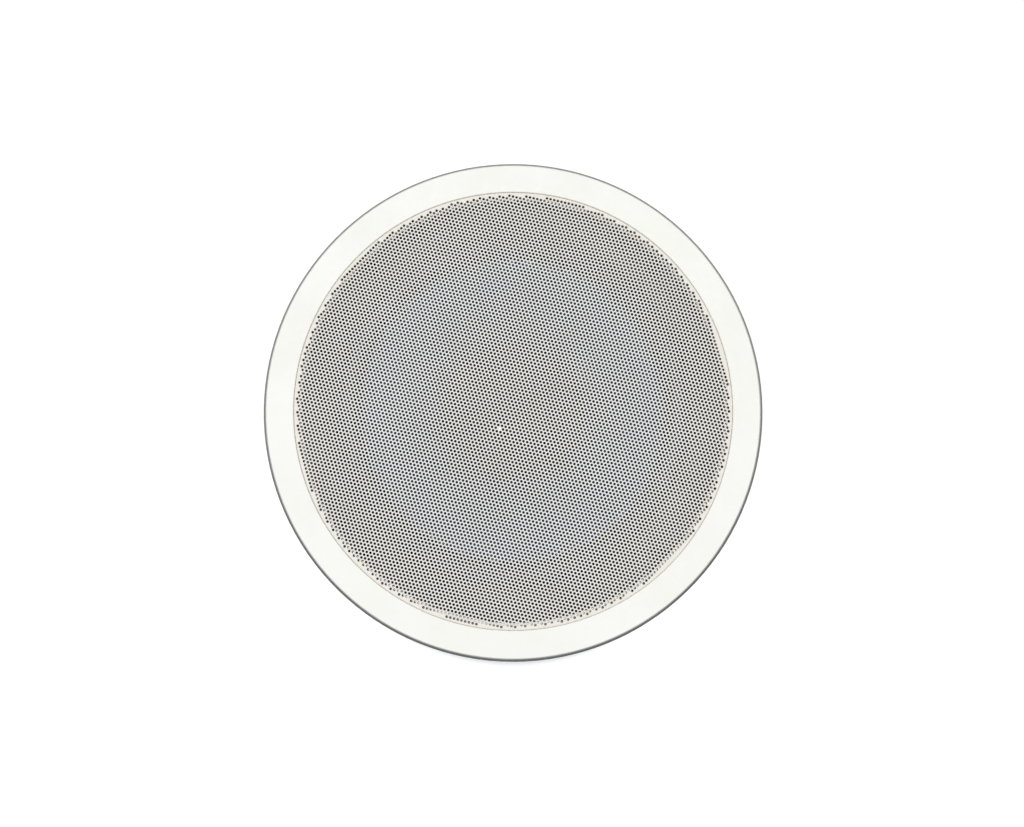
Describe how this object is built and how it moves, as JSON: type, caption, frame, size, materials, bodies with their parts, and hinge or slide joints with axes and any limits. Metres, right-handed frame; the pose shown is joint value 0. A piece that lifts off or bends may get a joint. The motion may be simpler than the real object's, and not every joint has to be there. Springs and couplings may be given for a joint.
{
  "type": "flush-mount loudspeaker",
  "caption": "Round loudspeaker that drops into a ceiling or wall board, with a white bezel, a perforated metal grille, a cone driver and swing-out clamps.",
  "frame": {"origin": "centre of the flange's back face, on the face of the board that the flange closes", "axes": "+Z out of the grille into the room; the terminals are on the -Y side"},
  "size_m": [0.2668, 0.2668, 0.092],
  "materials": {
    "bezel_plastic": "satin moulded, warm white",
    "grille_paint": "matt powder coat, warm white",
    "black_foam": "closed-cell foam",
    "basket_paint": "black stove enamel",
    "black_screw": "blackened steel",
    "surround_rubber": "smooth black rubber",
    "cone_film": "glossy blue-grey polypropylene",
    "cap_paper": "matt dark dust cap",
    "former_film": "bare aluminium foil",
    "copper_wire": "enamelled copper",
    "spider_cloth": "resin-dipped cotton",
    "zinc_steel": "zinc plated",
    "ferrite": "ground strontium ferrite",
    "phenolic_board": "phenolic paper board",
    "tinned_brass": "tinned brass",
    "copper_braid": "braided copper tinsel",
    "black_plastic": "moulded black",
    "red_plastic": "moulded red",
    "spring_steel": "spring wire",
    "red_insulation": "PVC insulation",
    "black_insulation": "PVC insulation",
    "clamp_plastic": "glass-filled nylon, natural white"
  },
  "bodies": {
    "chassis": {"bezel_frame": "bezel_plastic", "grille": "grille_paint", "baffle_foam": "black_foam", "basket": "basket_paint", "basket_gasket": "black_foam", "basket_screws": "black_screw", "surround": "surround_rubber", "spider": "spider_cloth", "top_plate": "zinc_steel", "magnet": "ferrite", "yoke": "zinc_steel", "plate_rivets": "zinc_steel", "tag_board": "phenolic_board", "solder_tags": "tinned_brass", "tag_rivet": "zinc_steel", "tinsel_lead_left": "copper_braid", "tinsel_lead_right": "copper_braid", "terminal_block": "black_plastic", "terminal_screws": "zinc_steel", "contact_strips": "tinned_brass", "button_spring_red": "spring_steel", "button_spring_black": "spring_steel", "wire_red": "red_insulation", "wire_black": "black_insulation"},
    "cone_assembly": {"cone": "cone_film", "dust_cap": "cap_paper", "coil_former": "former_film", "voice_coil": "copper_wire"},
    "terminal_button_red": {"terminal_button_red": "red_plastic"},
    "terminal_button_black": {"terminal_button_black": "black_plastic"},
    "clamp_screw_1": {"clamp_screw_1": "zinc_steel"},
    "clamp_arm_1": {"clamp_arm_1": "clamp_plastic"},
    "clamp_screw_2": {"clamp_screw_2": "zinc_steel"},
    "clamp_arm_2": {"clamp_arm_2": "clamp_plastic"},
    "clamp_screw_3": {"clamp_screw_3": "zinc_steel"},
    "clamp_arm_3": {"clamp_arm_3": "clamp_plastic"},
    "clamp_screw_4": {"clamp_screw_4": "zinc_steel"},
    "clamp_arm_4": {"clamp_arm_4": "clamp_plastic"}
  },
  "joints": [
    {"name": "cone_travel", "type": "slide", "parent": "chassis", "child": "cone_assembly", "axis": [0, 0, 1], "range_m": [-0.004, 0.004], "stiffness_N_per_m": 2000, "deforming": ["surround", "spider", "tinsel_lead_left", "tinsel_lead_right"]},
    {"name": "button_press_red", "type": "slide", "parent": "chassis", "child": "terminal_button_red", "axis": [0, 0, 1], "range_m": [0, 0.0025], "stiffness_N_per_m": 800, "springref_m": -0.002, "deforming": ["button_spring_red"]},
    {"name": "button_press_black", "type": "slide", "parent": "chassis", "child": "terminal_button_black", "axis": [0, 0, 1], "range_m": [0, 0.0025], "stiffness_N_per_m": 800, "springref_m": -0.002, "deforming": ["button_spring_black"]},
    {"name": "clamp_swing_1", "type": "hinge", "parent": "chassis", "child": "clamp_screw_1", "pos_m": [0.07722, 0.07722, -0.008], "axis": [0, 0, -1], "range_deg": [0, 90]},
    {"name": "clamp_climb_1", "type": "slide", "parent": "clamp_screw_1", "child": "clamp_arm_1", "axis": [0, 0, 1], "range_m": [0, 0.0345]},
    {"name": "clamp_swing_2", "type": "hinge", "parent": "chassis", "child": "clamp_screw_2", "pos_m": [-0.07722, 0.07722, -0.008], "axis": [0, 0, -1], "range_deg": [0, 90]},
    {"name": "clamp_climb_2", "type": "slide", "parent": "clamp_screw_2", "child": "clamp_arm_2", "axis": [0, 0, 1], "range_m": [0, 0.0345]},
    {"name": "clamp_swing_3", "type": "hinge", "parent": "chassis", "child": "clamp_screw_3", "pos_m": [-0.07722, -0.07722, -0.008], "axis": [0, 0, -1], "range_deg": [0, 90]},
    {"name": "clamp_climb_3", "type": "slide", "parent": "clamp_screw_3", "child": "clamp_arm_3", "axis": [0, 0, 1], "range_m": [0, 0.0345]},
    {"name": "clamp_swing_4", "type": "hinge", "parent": "chassis", "child": "clamp_screw_4", "pos_m": [0.07722, -0.07722, -0.008], "axis": [0, 0, -1], "range_deg": [0, 90]},
    {"name": "clamp_climb_4", "type": "slide", "parent": "clamp_screw_4", "child": "clamp_arm_4", "axis": [0, 0, 1], "range_m": [0, 0.0345]}
  ]
}
